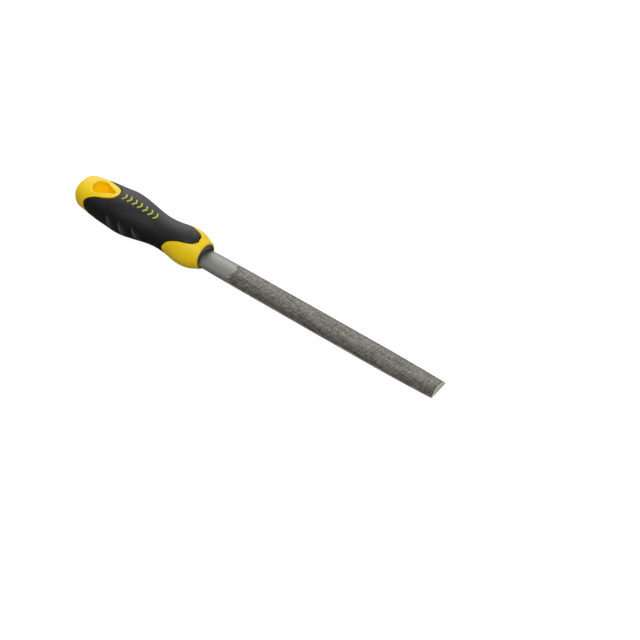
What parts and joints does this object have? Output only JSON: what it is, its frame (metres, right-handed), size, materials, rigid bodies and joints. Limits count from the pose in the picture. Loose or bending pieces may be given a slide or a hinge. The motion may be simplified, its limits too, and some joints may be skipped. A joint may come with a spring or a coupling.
{
  "type": "half-round file",
  "caption": "Half-round metalworking file with a toothed steel blade and a two-colour moulded handle that has a hanging hole in its butt.",
  "frame": {"origin": "on the flat working face of the blade, on its centre line, where the blade leaves the mouth of the handle", "axes": "+X along the blade from the butt to the tip, +Z out of the rounded back, so -Z is the way the flat face looks, +Y across the blade"},
  "size_m": [0.3178, 0.0334, 0.0314],
  "materials": {
    "file_steel": "hardened high-carbon steel, ground heel and cut teeth",
    "core_plastic": "glossy yellow moulded polypropylene",
    "grip_rubber": "soft-touch black thermoplastic rubber with a fine satin grain",
    "ring_plastic": "black moulded nylon",
    "mark_plastic": "lime-yellow inlay, satin"
  },
  "bodies": {
    "root": {"file_blade": "file_steel", "handle_core": "core_plastic", "grip_overmould": "grip_rubber", "mouth_ring": "ring_plastic", "grip_marks": "mark_plastic"}
  },
  "joints": []
}
